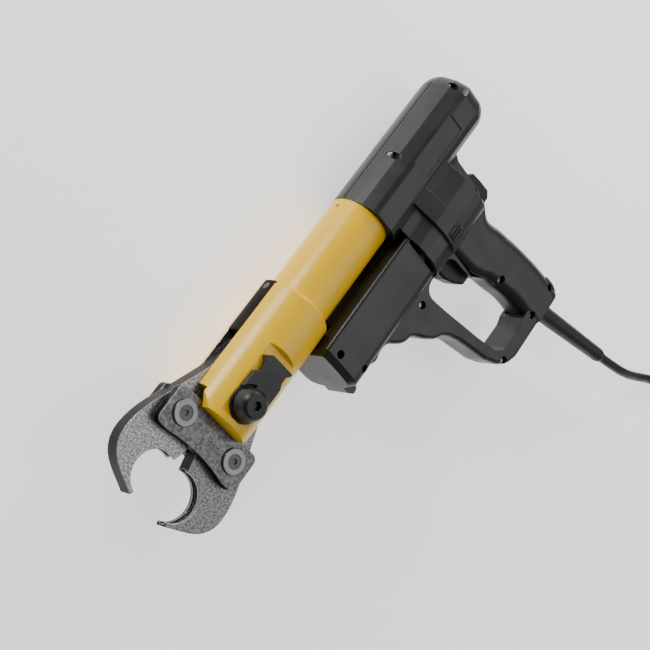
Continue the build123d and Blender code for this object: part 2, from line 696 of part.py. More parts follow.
# ---------------------------------------------------------------- housing
# half sections (y, z >= 0) of the four stretches of the casing, front to back
BODY_HALF = [(30.0, 0), (30.0, 31.0), (32.0, 32.8), (54.0, 33.8), (71.5, 33.0), (78.0, 29.5), (81.5, 20.0), (82.5, 12.0),
             (82.5, 0)]
MIDDLE_HALF = [(14.0, 0), (14.0, 30.6), (30.0, 33.6), (42.0, 37.6), (53.0, 39.8), (65.0, 39.2), (77.5, 34.6), (82.0, 26.0),
               (83.0, 12.0), (83.0, 0)]
BAND_HALF = [(6.0, 0), (6.0, 30.4), (24.0, 36.0), (40.0, 41.0), (54.0, 43.0), (67.0, 41.8), (78.0, 37.0), (82.5, 27.0),
             (83.5, 12.0), (83.5, 0)]
REAR_HALF = [(6.0, 0), (6.0, 30.0), (24.0, 34.2), (40.0, 39.2), (54.0, 41.2), (67.0, 40.0), (78.0, 35.4), (82.5, 26.0),
             (83.5, 12.0), (83.5, 0)]
NECK_HALF = [(20.0, 0), (20.0, 22.0), (68.0, 22.0), (76.0, 18.0), (83.0, 12.0), (83.0, 0)]
BARREL_TOP = 33.0            # flat face with the label's recess
BARREL_HALF = [(-29.0, 0), (-28.0, 6.5), (-24.5, 14.0), (-20.3, 21.9), (-12.0, 30.3), (-8.0, BARREL_TOP),
               (12.0, BARREL_TOP), (18.0, 31.3), (24.5, 26.2), (29.2, 18.8), (32.2, 9.5), (33.0, 0)]
BARREL_DOME = [(0.0, 0.0), (0.45, 1.8), (0.8, 5.0), (1.0, 10.5)]    # share of the rear end, drop of its outline
NOSE_BEVEL = 4.5
RIDGE = 3                    # corner of the barrel's section that stays crisp
SEAM = (-27.6, 3.6, 4.9)     # groove along the barrel's outer side: y of its bottom, low and high z
FIT_AROUND_TUBE = 0.1

# outline (x, y) of the D-handle: finger waves, guard, bottom bar, grip, neck
HANDLE_OUTLINE = [
    (-96.0, 74.0),
    (-98.5, 84.0),
    (-110.5, 84.5),
    (-115.5, 89.3),
    (-121.8, 92.2),
    (-128.6, 89.9),
    (-134.9, 89.4),
    (-141.6, 91.3),
    (-146.5, 97.5),
    (-151.6, 103.0),
    (-157.0, 106.2),
    (-163.4, 107.0),
    (-167.5, 112.0),
    (-172.5, 120.5),
    (-181.6, 131.4),
    (-189.5, 135.5),
    (-195.0, 143.0),
    (-199.8, 155.0),
    (-204.2, 172.0),
    (-209.0, 192.0),
    (-216.5, 207.5),
    (-226.0, 217.5),
    (-238.0, 221.8),
    (-313.0, 222.0),
    (-322.5, 219.0),
    (-324.4, 210.0),
    (-323.6, 190.0),
    (-321.2, 170.0),
    (-318.0, 149.0),
    (-313.5, 126.0),
    (-309.0, 110.0),
    (-308.5, 105.0),
    (-311.5, 99.0),
    (-310.5, 88.0),
    (-310.5, 58.0),
    (-311.5, 46.0),
    (-316.0, 42.0),
    (-319.5, 36.0),
    (-325.0, 22.0),
    (-110.0, 32.0),
]
FOOT = [(-81.0, 76.0), (-81.0, 86.5), (-84.5, 91.5), (-89.0, 91.0), (-96.0, 83.5), (-97.5, 76.0)]
FOOT_Z = 14.0
WINDOW = [
    (-202.0, 89.0),
    (-206.5, 118.0),
    (-217.5, 172.0),
    (-224.0, 196.0),
    (-231.0, 203.5),
    (-262.0, 204.5),
    (-271.5, 202.0),
    (-274.8, 193.0),
    (-274.0, 181.0),
    (-269.5, 163.0),
    (-263.5, 142.0),
    (-252.0, 126.0),
    (-249.0, 112.0),
    (-248.0, 89.0),
]
# the grip's sections from the neck down: y, rear x, front x
GRIP = [
    (80.0, -309.5, -251.0),
    (97.0, -310.8, -251.0),
    (106.0, -308.0, -252.0),
    (113.0, -309.4, -253.0),
    (127.0, -313.6, -256.6),
    (142.0, -316.8, -264.8),
    (160.0, -320.0, -269.0),
    (180.0, -322.8, -273.9),
    (193.0, -323.8, -274.6),
    (206.0, -324.2, -275.0),
    (220.0, -323.4, -275.0),
]
GRIP_SPAN = (84.0, 201.5)    # y range where the grip takes the ring's place
GRIP_R = 13.0                # rounding of the grip's edges
LABEL = (-326.0, -266.0, -9.7, 9.9)
LABEL_DEPTH = 0.9
SCREWS = [
    # x, y, face the head sits on, seen from the knob side
    (-261.5, -21.8, 11.0),
    (-353.5, -17.6, 14.0),
    (-90.5, 44.2, 20.0),
    (-99.5, 73.5, 20.0),
    (-192.0, 96.0, 8.0),
    (-276.0, 153.0, 9.0),
    (-280.5, 208.5, 8.0),
    (-224.5, 210.0, 8.0),
    (-315.5, 207.5, 8.0),
]
VENTS = [(34.0, 51.0), (57.5, 73.0)]
RIBS = [(57.4, 44.2), (60.6, 44.0), (63.8, 43.6)]    # raised ribs on the band: low y, top z
RIB_T = 1.4
HEAD_R = 3.3
BOSS_R = 5.4
SCREW_R = 1.5
HEAD_T = 4.6


def inset(points, wall):
    """Draw a half section in by the wall, keeping the number of corners."""
    ys = [p[0] for p in points]
    mid = (min(ys) + max(ys)) / 2
    top = max(p[1] for p in points)
    half = (max(ys) - min(ys)) / 2
    return [(mid + (y - mid) * (half - wall) / half, z * (top - wall) / top) for y, z in points]


def stretch(half_section, x0, x1, wall):
    """One stretch of the casing, softened along its corners."""
    plane = Plane(origin=(x0, 0, 0), x_dir=(0, 1, 0), z_dir=(1, 0, 0))
    return extrude(plane * soft_outline(mirrored(inset(half_section, wall)), 14.0), x1 - x0, dir=(1, 0, 0))


def barrel_face(x, wall):
    """Barrel's section, round but for its ridges and its flat faces."""
    points = mirrored(inset(BARREL_HALF, wall))
    plane = Plane(origin=(x, 0, 0), x_dir=(0, 1, 0), z_dir=(1, 0, 0))
    face = make_face(Polyline(*points, close=True))
    crisp = [points[RIDGE], points[-RIDGE]]
    ridges = [v for v in face.vertices() if any(math.dist((v.X, v.Y), p) < 0.01 for p in crisp)]
    others = [v for v in face.vertices() if v not in ridges]
    face = fillet(others, 3.5)
    ridges = [v for v in face.vertices() if any(math.dist((v.X, v.Y), p) < 0.01 for p in crisp)]
    return plane * fillet(ridges, 1.2)


def casing(wall):
    """Outer form of the casing for wall 0, or the room inside it for a real wall."""
    barrel = barrel_face(BARREL_FRONT - wall, wall)
    form = extrude(barrel, BARREL_FRONT - wall - BARREL_TAPER, dir=(-1, 0, 0))
    reach = BARREL_TAPER - BARREL_BACK - wall
    form += loft([barrel_face(BARREL_TAPER - part * reach, wall + drop) for part, drop in BARREL_DOME])
    form += stretch(BODY_HALF, BODY_STEP - 2 - wall, BODY_FRONT - wall, wall)
    form += stretch(MIDDLE_HALF, BAND_FRONT - 2 - wall, BODY_STEP - wall, wall)
    form += stretch(BAND_HALF, BAND_STEP - 1 - wall, BAND_FRONT - wall, wall)
    form += stretch(REAR_HALF, BAND_BACK + wall, BAND_STEP + 1 - wall, wall)
    form += stretch(NECK_HALF, NECK_BACK + wall, BAND_BACK + 3, wall)
    if not wall:
        nose = []
        for x, drop in ((BODY_FRONT, 0), (BODY_NOSE, NOSE_BEVEL)):
            plane = Plane(origin=(x, 0, 0), x_dir=(0, 1, 0), z_dir=(1, 0, 0))
            nose.append(plane * soft_outline(mirrored(inset(BODY_HALF, drop)), 14.0 - drop))
        form += loft(nose, ruled=True)
    return form


def handle_room(outline, wall, half):
    face = make_face(Polyline(*outline, close=True))
    face = offset(face, -wall, kind=Kind.INTERSECTION) if wall else face
    return extrude(Pos(0, 0, wall - half) * face, 2 * (half - wall), dir=(0, 0, 1))


def handle_ring():
    """D-handle with rounded outer edges and softened window edges."""
    ring = extrude(Pos(0, 0, -HANDLE_Z) * soft_outline(HANDLE_OUTLINE, 16.0), 2 * HANDLE_Z, dir=(0, 0, 1))
    ring = fillet(ring.edges().filter_by(Plane.XY), HANDLE_EDGE)
    ring -= block(BUTTON_OUT, GRIP[0][2] - 1, GRIP_SPAN[0], GRIP_SPAN[1], -HANDLE_Z - 1, HANDLE_Z + 1)
    window = Pos(0, 0, -HANDLE_Z - 1) * soft_outline(WINDOW, 16.0)
    ring -= extrude(window, 2 * HANDLE_Z + 2, dir=(0, 0, 1))
    return ring


def grip_form(wall):
    """Grip, lofted through rounded sections."""
    faces = []
    for y, rear, front in GRIP:
        plane = Plane(origin=((rear + front) / 2, y, 0), x_dir=(1, 0, 0), z_dir=(0, 1, 0))
        faces.append(plane * RectangleRounded(front - rear - 2 * wall, 2 * (GRIP_Z - wall), GRIP_R - wall))
    return loft(faces)


TRIGGER_Y0 = 90.5
TRIGGER_Y1 = 126.0
TRIGGER_FRONT = -232.0
TRIGGER_BACK = -255.6
TRIGGER_Z = 8.0
BUTTON_Y0 = 59.0
BUTTON_Y1 = 93.0
BUTTON_OUT = -329.5
BUTTON_IN = -309.0
BUTTON_Z = 7.5
# the cord: x, y, z of its route from the end of the boot, over the floor, to the coil
CORD_EXIT = (-299.9, 222.1, 0.0)
BOOT_END = (-332.5, 333.0, -5.0)
BOOT_R = 9.0
BOOT_END_R = 7.3
BOOT_TIP = 5.0              # turned-down end of the boot
BOOT_LENGTH = (Vector(*BOOT_END) - Vector(*CORD_EXIT)).length
LEAD_DIR = (Vector(*BOOT_END) - Vector(*CORD_EXIT)).normalized()
NECK_R = 5.4


def along_lead(distance):
    """Point on the boot's axis at a distance from the housing."""
    return tuple(Vector(*CORD_EXIT) + LEAD_DIR * distance)


CORD_WAY = along_lead(-24)


def cone_between(start, end, r0, r1):
    """Tapered round bar from one point to another."""
    axis = Vector(*end) - Vector(*start)
    place = Plane(origin=start, z_dir=axis)
    if r0 == r1:
        return place * Pos(0, 0, axis.length / 2) * Cylinder(r0, axis.length)
    return place * Pos(0, 0, axis.length / 2) * Cone(r0, r1, axis.length)


def housing():
    form = casing(0) + handle_ring() + grip_form(0) + slab(FOOT, -FOOT_Z, FOOT_Z, 1.5)
    thick = WALL + 1.2
    window_wall = handle_room(WINDOW, -WALL, HANDLE_Z + 2)
    room = casing(WALL)
    room += handle_room(HANDLE_OUTLINE, thick, HANDLE_Z) - window_wall
    room += grip_form(WALL) - window_wall - block(-400, 0, GRIP[-1][0] - WALL, 300, -60, 60)
    shell = form - room
    shell -= rod(BARREL_FRONT - 20, BARREL_FRONT + 1, SPIGOT_R + FIT_AROUND_TUBE)
    shell -= rod(BARREL_FRONT, HOLDER_BACK - 5, TUBE_R + 1.0)
    shell -= block(BARREL_TAPER - 20, BARREL_FRONT + 1, SEAM[0] - 5, SEAM[0], SEAM[1], SEAM[2])
    shell -= rod(HOLDER_BACK - 6, BODY_FRONT + 10, HOLDER_R + 1.2)
    shell -= block(LABEL[0], LABEL[1], LABEL[2], LABEL[3], BARREL_TOP - LABEL_DEPTH, BARREL_TOP + 1)
    for x, y, seat in SCREWS:
        shell += post(-60, 60, BOSS_R, x, y) & form
    for x, y, seat in SCREWS:
        shell -= post(seat, 60, HEAD_R + 0.5, x, y)
        shell -= post(-seat + 3, seat + 1, SCREW_R + 0.1, x, y)
    for y, top in RIBS:
        shell += block(BAND_STEP + 1, BAND_FRONT - 3, y, y + RIB_T, top - 4, top)
    gap = CLEAR
    reach = TRIGGER_FRONT + 12
    for y0, y1 in VENTS:
        for side in (-1, 1):
            shell -= block(BODY_STEP - 0.5, BODY_STEP + 2.5, y0, y1, 20 * side, 45 * side)
    trigger_end = TRIGGER_BACK - TRIGGER_TRAVEL - gap
    shell -= block(trigger_end, reach, TRIGGER_Y0 - gap, TRIGGER_Y1 + gap, -TRIGGER_Z - gap, TRIGGER_Z + gap)
    shell -= block(BUTTON_OUT - 9, BUTTON_IN + 6, BUTTON_Y0 - gap, BUTTON_Y1 + gap, -BUTTON_Z - gap, BUTTON_Z + gap)
    return shell - cone_between(CORD_WAY, along_lead(8), NECK_R + 0.05, NECK_R + 0.05)


shell = housing()
half_space = block(-400, 0, -100, 300, 0, 100)
upper = shell & half_space
lower = shell & block(-400, 0, -100, 300, -100, 0)
keep("upper_housing", max(upper.solids(), key=lambda s: s.volume))
keep("lower_housing", max(lower.solids(), key=lambda s: s.volume))
for side_name, half in (("upper", upper), ("lower", lower)):
    print(side_name, [round(s.volume) for s in half.solids()])


def housing_screw(x, y, seat):
    head = fillet(post(seat, seat + HEAD_T, HEAD_R, x, y).edges().sort_by(Axis.Z)[-1], 1.0)
    return head + post(-seat + 3.5, seat + 0.5, SCREW_R, x, y)


keep("housing_screws", group([housing_screw(*screw) for screw in SCREWS]))


# ---------------------------------------------------------------- trigger, button and switch
TRIGGER_OUTLINE = [
    (TRIGGER_FRONT + 0.5, TRIGGER_Y0),
    (TRIGGER_FRONT - 0.5, 106.0),
    (TRIGGER_FRONT - 6.0, 118.0),
    (TRIGGER_FRONT - 12.0, TRIGGER_Y1),
    (TRIGGER_BACK, TRIGGER_Y1),
    (TRIGGER_BACK, TRIGGER_Y0),
]
trigger = slab(TRIGGER_OUTLINE, -TRIGGER_Z, TRIGGER_Z)
front_edges = []
for edge in trigger.edges().filter_by(Plane.XY):
    if edge.center().X > TRIGGER_BACK + 14 and edge.center().Y > TRIGGER_Y0 + 1:
        front_edges.append(edge)
keep("trigger", fillet(front_edges, 2.5))

SWITCH_FRONT = TRIGGER_BACK - TRIGGER_TRAVEL - 3.4
keep("trigger_spring", coil_spring(SWITCH_FRONT + 0.2, TRIGGER_BACK - 0.2, 3.0, 0.35, 3, 108.0, 0))
switch = block(SWITCH_FRONT - 27, SWITCH_FRONT, 98.0, 120.0, -GRIP_Z + WALL + 0.2, GRIP_Z - WALL - 0.2)
keep("mains_switch", switch)

BUTTON_OUTLINE = [
    (BUTTON_IN, BUTTON_Y0),
    (BUTTON_OUT + 8.5, BUTTON_Y0),
    (BUTTON_OUT + 1.5, 64.5),
    (BUTTON_OUT, 76.0),
    (BUTTON_OUT - 0.5, 88.5),
    (BUTTON_OUT + 4.5, BUTTON_Y1),
    (BUTTON_IN, BUTTON_Y1),
]
button = slab(BUTTON_OUTLINE, -BUTTON_Z, BUTTON_Z)
rear_edges = [e for e in button.edges().filter_by(Plane.XY) if e.center().X < BUTTON_OUT + 8]
keep("release_button", fillet(rear_edges, 1.5))
RELEASE_X = BUTTON_IN + 12.0
RELEASE_Y = 69.0
keep("release_spring", coil_spring(BUTTON_IN + 0.2, RELEASE_X - 0.2, 3.6, 0.4, 5, RELEASE_Y, 0))


def release_valve():
    """Valve stem bracket that the button works on, screwed between the housing halves."""
    bracket = block(RELEASE_X, RELEASE_X + 5, 63.5, 73.5, -13.8, 13.8)
    return bracket + rod(RELEASE_X + 4, RELEASE_X + 12, 3.0, RELEASE_Y)


keep("release_valve", release_valve())

RESERVOIR = (-341.0, -286.0)
RESERVOIR_R = 25.1
reservoir = rod(RESERVOIR[0], RESERVOIR[1], RESERVOIR_R)
keep("oil_reservoir", fillet(reservoir.edges().filter_by(GeomType.CIRCLE), 5.0))

# ---------------------------------------------------------------- cord


def cord_boot():
    boot = cone_between(along_lead(-6), along_lead(BOOT_LENGTH - BOOT_TIP), BOOT_R + 0.1, BOOT_END_R)
    boot += cone_between(along_lead(BOOT_LENGTH - BOOT_TIP), BOOT_END, BOOT_END_R, BOOT_END_R - 1.4)
    boot -= block(CORD_EXIT[0] - 30, CORD_EXIT[0] + 30, CORD_EXIT[1] - 30, CORD_EXIT[1], -20, 20)
    return boot + cone_between(along_lead(-12), along_lead(4), NECK_R, NECK_R)


keep("cord_boot", cord_boot())

LIE_Z = FLOOR_Z + CORD_D / 2
LEAD_ROUTE = [
    BOOT_END,
    along_lead(BOOT_LENGTH + 28),
    (-354.0, 388.0, -14.0),
    (-371.0, 414.0, -25.0),
    (-390.0, 441.0, -35.5),
    (-406.0, 470.0, LIE_Z),
    (-414.0, 498.0, LIE_Z),
]
# the put-away rest of the cord: a tied coil of two layers of four turns
COIL_X = -482.0
COIL_Y = 492.0
COIL_R = 53.0
COIL_COLUMNS = 4
COIL_LAYERS = 2
TOP_Z = FLOOR_Z + COIL_LAYERS * CORD_D
PLUG_R = 18.0
PLUG_Z = TOP_Z + PLUG_R
PLUG_START = (COIL_X - 6.0, COIL_Y - 37.0, PLUG_Z)
TAIL_ROUTE = [
    (COIL_X - 41.5, COIL_Y + 53.1, FLOOR_Z + 14.4),
    (COIL_X - 55.4, COIL_Y + 32.0, FLOOR_Z + 17.5),
    (COIL_X - 60.4, COIL_Y + 8.5, FLOOR_Z + 25.0),
    (COIL_X - 54.0, COIL_Y - 14.0, FLOOR_Z + 33.0),
    (COIL_X - 40.0, COIL_Y - 31.0, FLOOR_Z + 36.4),
    (COIL_X - 22.0, COIL_Y - 37.0, PLUG_Z),
    PLUG_START,
]


def cord_tube(route, name):
    """Straight runs joined by tangent arcs as large as the runs allow."""
    radii = []
    for a, b, c in zip(route, route[1:], route[2:]):
        run_in = Vector(*b) - Vector(*a)
        run_out = Vector(*c) - Vector(*b)
        half_turn = math.radians(run_in.get_angle(run_out)) / 2
        radii.append(0.45 * min(run_in.length, run_out.length) / math.tan(half_turn))
    path = FilletPolyline(*route, radius=radii)
    profile = Plane(origin=path @ 0, z_dir=path % 0) * Circle(CORD_D / 2)
    tube = sweep(profile, path)
    expected = math.pi * CORD_D ** 2 / 4 * path.length
    print(name, "radii", [round(r) for r in radii], "length", round(path.length, 1))
    print(name, "volume", round(tube.volume), "expected", round(expected))
    return tube


coil_half = COIL_COLUMNS * CORD_D / 2
coil = post(FLOOR_Z, TOP_Z, COIL_R + coil_half, COIL_X, COIL_Y)
coil -= post(FLOOR_Z - 1, TOP_Z + 1, COIL_R - coil_half, COIL_X, COIL_Y)
coil = chamfer(coil.edges().filter_by(GeomType.CIRCLE), 2.5)
keep("cord_coil", coil)
keep("cord_lead", cord_tube(LEAD_ROUTE, "cord_lead") - coil)
keep("cord_tail", cord_tube(TAIL_ROUTE, "cord_tail") - coil)


def mains_plug():
    away = (Vector(*PLUG_START) - Vector(*TAIL_ROUTE[-2])).normalized()
    face = Vector(*PLUG_START) + away * 36
    body = cone_between(PLUG_START, tuple(Vector(*PLUG_START) + away * 14), 8.0, PLUG_R - 0.5)
    body += cone_between(tuple(Vector(*PLUG_START) + away * 14), tuple(face), PLUG_R - 0.5, PLUG_R - 0.5)
    side = away.cross(Vector(0, 0, 1)).normalized()
    for sign in (-1, 1):
        root = face + side * (9.5 * sign)
        body += cone_between(tuple(root - away), tuple(root + away * 19), 2.4, 2.4)
    return body


keep("mains_plug", mains_plug())

# ---------------------------------------------------------------- move to the row origin and write
CORD_NODES = ("cord_lead", "cord_tail", "cord_coil", "mains_plug", "cord_boot")
boxes = [shape.bounding_box() for name, shape in PARTS.items() if name not in CORD_NODES]
low = [min(getattr(box.min, axis) for box in boxes) for axis in "XYZ"]
high = [max(getattr(box.max, axis) for box in boxes) for axis in "XYZ"]
shift = (-(low[0] + high[0]) / 2, -(low[1] + high[1]) / 2, -low[2])
print("low", [round(v, 3) for v in low], "high", [round(v, 3) for v in high])
print("shift", [round(v, 4) for v in shift])
os.makedirs("parts", exist_ok=True)
for name, shape in PARTS.items():
    export_step(Pos(*shift) * shape, f"parts/{name}.step")
print(len(PARTS), "nodes written")
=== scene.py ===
import math

import bpy
from mathutils import Matrix, Vector


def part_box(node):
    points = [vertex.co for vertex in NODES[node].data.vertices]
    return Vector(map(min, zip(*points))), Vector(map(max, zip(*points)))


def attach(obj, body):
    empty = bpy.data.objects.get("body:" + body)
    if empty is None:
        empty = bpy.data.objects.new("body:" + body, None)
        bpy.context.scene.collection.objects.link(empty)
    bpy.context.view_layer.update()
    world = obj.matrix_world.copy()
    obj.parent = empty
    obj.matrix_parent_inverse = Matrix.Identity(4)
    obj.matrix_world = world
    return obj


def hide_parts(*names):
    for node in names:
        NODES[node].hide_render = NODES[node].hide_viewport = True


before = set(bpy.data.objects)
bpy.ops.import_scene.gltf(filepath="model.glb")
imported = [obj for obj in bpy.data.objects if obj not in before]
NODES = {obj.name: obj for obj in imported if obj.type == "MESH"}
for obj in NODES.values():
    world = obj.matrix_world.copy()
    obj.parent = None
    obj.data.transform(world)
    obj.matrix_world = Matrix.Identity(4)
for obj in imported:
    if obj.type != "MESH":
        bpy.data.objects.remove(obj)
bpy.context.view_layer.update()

# ---- Place of the tool's own axes
# The holding bolt crosses the tool's axis a little behind the holder's front end.
# Every place below is counted from that point: along the tool, towards the handle and up.
BOLT_BEHIND_FRONT = 0.0226
HOLDER_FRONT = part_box("tong_holder")[1][0]
TUBE_LOW, TUBE_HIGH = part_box("cylinder_tube")
AXIS_Y = (TUBE_LOW[1] + TUBE_HIGH[1]) / 2
AXIS_Z = (TUBE_LOW[2] + TUBE_HIGH[2]) / 2
AXIS = Vector((HOLDER_FRONT - BOLT_BEHIND_FRONT, AXIS_Y, AXIS_Z))


def at(x, y, z):
    """Place in metres of a point given in millimetres from the bolt on the tool's axis."""
    return AXIS + Vector((x, y, z)) / 1000


# ---- Yellow lacquer on the tong holder and the cylinder tube
# Steel turned and milled to shape, then sprayed with an enamel that shows a little orange peel.
# The slot for the tong is milled afterwards, so its walls are bare.
SLOT_BACK_X = -80.5
SLOT_HALF = 0.0076
ORANGE_PEEL = 420


def new_material(name, base, roughness, metallic=0.0):
    """A principled material with its fixed values on the shader's own sockets."""
    material = bpy.data.materials.new(name)
    material.use_nodes = True
    shader = material.node_tree.nodes["Principled BSDF"]
    shader.inputs["Base Color"].default_value = (*base, 1)
    shader.inputs["Roughness"].default_value = roughness
    shader.inputs["Metallic"].default_value = metallic
    return material, material.node_tree, shader


def noise(tree, scale, detail=4.0, roughness=0.55):
    """Noise in object space, scale in waves per metre."""
    place = tree.nodes.new("ShaderNodeTexCoord")
    node = tree.nodes.new("ShaderNodeTexNoise")
    node.inputs["Scale"].default_value = scale
    node.inputs["Detail"].default_value = detail
    node.inputs["Roughness"].default_value = roughness
    tree.links.new(place.outputs["Object"], node.inputs["Vector"])
    return node.outputs["Fac"]


def ramp(tree, value, low, high, low_colour, high_colour):
    """Colour ramp between two colours over part of a value's range."""
    node = tree.nodes.new("ShaderNodeValToRGB")
    node.color_ramp.elements[0].position = low
    node.color_ramp.elements[1].position = high
    node.color_ramp.elements[0].color = (*low_colour, 1)
    node.color_ramp.elements[1].color = (*high_colour, 1)
    tree.links.new(value, node.inputs["Fac"])
    return node.outputs["Color"]


def map_range(tree, value, from_low, from_high, to_low=0.0, to_high=1.0):
    """Stretch part of a value's range to another one."""
    node = tree.nodes.new("ShaderNodeMapRange")
    node.inputs["From Min"].default_value = from_low
    node.inputs["From Max"].default_value = from_high
    node.inputs["To Min"].default_value = to_low
    node.inputs["To Max"].default_value = to_high
    tree.links.new(value, node.inputs["Value"])
    return node.outputs["Result"]


def vary(tree, value, socket, low, high):
    """Let a noise value move a socket between two numbers."""
    tree.links.new(map_range(tree, value, 0.3, 0.7, low, high), socket)


def mix_colours(tree, share, start, end):
    """Mix from one colour output to another, or to a plain colour."""
    node = tree.nodes.new("ShaderNodeMix")
    node.data_type = "RGBA"
    tree.links.new(share, node.inputs["Factor"])
    tree.links.new(start, node.inputs["A"])
    if isinstance(end, tuple):
        node.inputs["B"].default_value = (*end, 1)
    else:
        tree.links.new(end, node.inputs["B"])
    return node.outputs["Result"]


def calculate(tree, operation, first, *others):
    """One Math node; others are outputs or plain numbers."""
    node = tree.nodes.new("ShaderNodeMath")
    node.operation = operation
    tree.links.new(first, node.inputs[0])
    for socket, value in zip(node.inputs[1:], others):
        if isinstance(value, float):
            socket.default_value = value
        else:
            tree.links.new(value, socket)
    return node.outputs["Value"]


def split(tree, output):
    """The x, y and z of one of the texture coordinates."""
    place = tree.nodes.new("ShaderNodeTexCoord")
    node = tree.nodes.new("ShaderNodeSeparateXYZ")
    tree.links.new(place.outputs[output], node.inputs["Vector"])
    return node.outputs


def round_edges(tree, radius):
    """Normal that turns softly over the sharp edges, as a broken edge does."""
    node = tree.nodes.new("ShaderNodeBevel")
    node.samples = 6
    node.inputs["Radius"].default_value = radius
    return node.outputs["Normal"]


def bump(tree, shader, value, strength, height, rounded=None):
    """Bump of a real height in metres, over softened edges where they are given."""
    node = tree.nodes.new("ShaderNodeBump")
    node.inputs["Strength"].default_value = strength
    node.inputs["Distance"].default_value = height
    tree.links.new(value, node.inputs["Height"])
    if rounded:
        tree.links.new(rounded, node.inputs["Normal"])
    tree.links.new(node.outputs["Normal"], shader.inputs["Normal"])


def within_slot(tree):
    """1 on the milled walls of the holder's slot, 0 on the lacquer."""
    place = split(tree, "Object")
    level = calculate(tree, "COMPARE", place["Z"], AXIS.z, SLOT_HALF)
    ahead = calculate(tree, "GREATER_THAN", place["X"], at(SLOT_BACK_X, 0, 0).x)
    return calculate(tree, "MULTIPLY", level, ahead)


def yellow_enamel():
    material, tree, shader = new_material("yellow_enamel", (0.95, 0.56, 0.0), 0.3)
    tone = ramp(tree, noise(tree, 9, 3), 0.3, 0.75, (0.92, 0.535, 0.0), (0.97, 0.58, 0.0))
    bare = within_slot(tree)
    tree.links.new(mix_colours(tree, bare, tone, (0.55, 0.55, 0.56)), shader.inputs["Base Color"])
    tree.links.new(bare, shader.inputs["Metallic"])
    vary(tree, noise(tree, 60, 5), shader.inputs["Roughness"], 0.24, 0.31)
    shader.inputs["Specular IOR Level"].default_value = 0.4
    bump(tree, shader, noise(tree, ORANGE_PEEL, 2), 0.05, 0.0002, round_edges(tree, 0.0009))
    return material


def dress(material, *nodes):
    """Give the pieces their finish."""
    for node in nodes:
        slots = NODES[node].data.materials
        slots.clear()
        slots.append(material)


dress(yellow_enamel(), "tong_holder", "cylinder_tube")


# ---- Charcoal housing of the drive unit
# Two glass-filled nylon shells with a fine spark-eroded texture, screwed together.
# Edges and ridges are drawn a little lighter than the flats, partly wear and partly a painted highlight,
# and their normal turns softly over them.
RUBBED_EDGE_AND_HIGHLIGHT = (0.075, 0.075, 0.078)


def edge_share(tree, rounded, sharp):
    """0 on the flats, rising to 1 on an edge, from how far its soft normal turns."""
    flat = tree.nodes.new("ShaderNodeNewGeometry")
    turn = tree.nodes.new("ShaderNodeVectorMath")
    turn.operation = "DOT_PRODUCT"
    tree.links.new(flat.outputs["Normal"], turn.inputs[0])
    tree.links.new(rounded, turn.inputs[1])
    return map_range(tree, turn.outputs["Value"], 0.995, sharp)


def nylon(name, base, rough_low, rough_high, grain, shine):
    """Moulded nylon of a dark grey, with its grain in waves per metre."""
    lighter = tuple(c * 1.6 + 0.001 for c in base)
    material, tree, shader = new_material(name, base, 0.5)
    tone = ramp(tree, noise(tree, 22, 6), 0.3, 0.75, base, lighter)
    rounded = round_edges(tree, 0.0009)
    # Lighter colour on edges and ridges: partly wear, partly a painted highlight.
    rubbed_and_highlit = mix_colours(tree, edge_share(tree, rounded, 0.6), tone, RUBBED_EDGE_AND_HIGHLIGHT)
    tree.links.new(rubbed_and_highlit, shader.inputs["Base Color"])
    vary(tree, noise(tree, 35, 6), shader.inputs["Roughness"], rough_low, rough_high)
    shader.inputs["Specular IOR Level"].default_value = shine
    bump(tree, shader, noise(tree, grain, 2), 0.2, 0.00012, rounded)
    return material


CHARCOAL = nylon("charcoal_nylon", (0.010, 0.010, 0.0104), 0.30, 0.42, 1700, 0.48)
dress(CHARCOAL, "upper_housing", "lower_housing")


# ---- Trigger, release button and switch
# Small mouldings of a smoother black nylon, worn by the fingers, whose edges carry the same lighter colour
# as the housing: wear and a painted highlight.
# The cooling fan and the carbon brushes inside have the same dull black.
SOFT_BLACK = nylon("soft_black_nylon", (0.008, 0.008, 0.0084), 0.36, 0.48, 1300, 0.3)
dress(SOFT_BLACK, "trigger", "release_button", "mains_switch", "cooling_fan", "carbon_brushes")


# ---- Catch and slot covers
# The catch that keys the bolt slides on the holder and is a lighter, matt moulding.
# The covers beside the slot are matt black, each held by one screw.
dress(nylon("catch_nylon", (0.021, 0.021, 0.0218), 0.42, 0.54, 1500, 0.4), "catch")
dress(nylon("cover_nylon", (0.004, 0.004, 0.0042), 0.55, 0.65, 1500, 0.1), "slot_covers")


# ---- Holding bolt with its knob
# A turned and blackened bolt whose knob is pulled to change the tong.
# Its glossy skin is slightly uneven from handling.
def knob_lacquer():
    material, tree, shader = new_material("knob_lacquer", (0.0045, 0.0045, 0.0048), 0.38)
    vary(tree, noise(tree, 55, 5), shader.inputs["Roughness"], 0.33, 0.45)
    shader.inputs["Specular IOR Level"].default_value = 0.4
    bump(tree, shader, noise(tree, 300, 3), 0.05, 0.0001, round_edges(tree, 0.0006))
    return material


dress(knob_lacquer(), "holding_bolt")


# ---- Jaws and side plates of the pressing tong
# Drop-forged and blasted jaws between two rolled plates, oiled, with a mottled grey skin.
# Their outer edges are black from hardening, and the ground bore of the jaws is bright. Along every edge a
# near-white line stands for wear and a painted highlight.
BORE_CENTRE_X = 86.9
BORE_OFFSET_Y = 14.1
BORE_REACH = (0.0235, 0.0215)
WORN_EDGE_AND_HIGHLIGHT = (0.9, 0.9, 0.9)
BLACK_LOW = (0.004, 0.0042, 0.0047)
BLACK_HIGH = (0.014, 0.014, 0.0155)


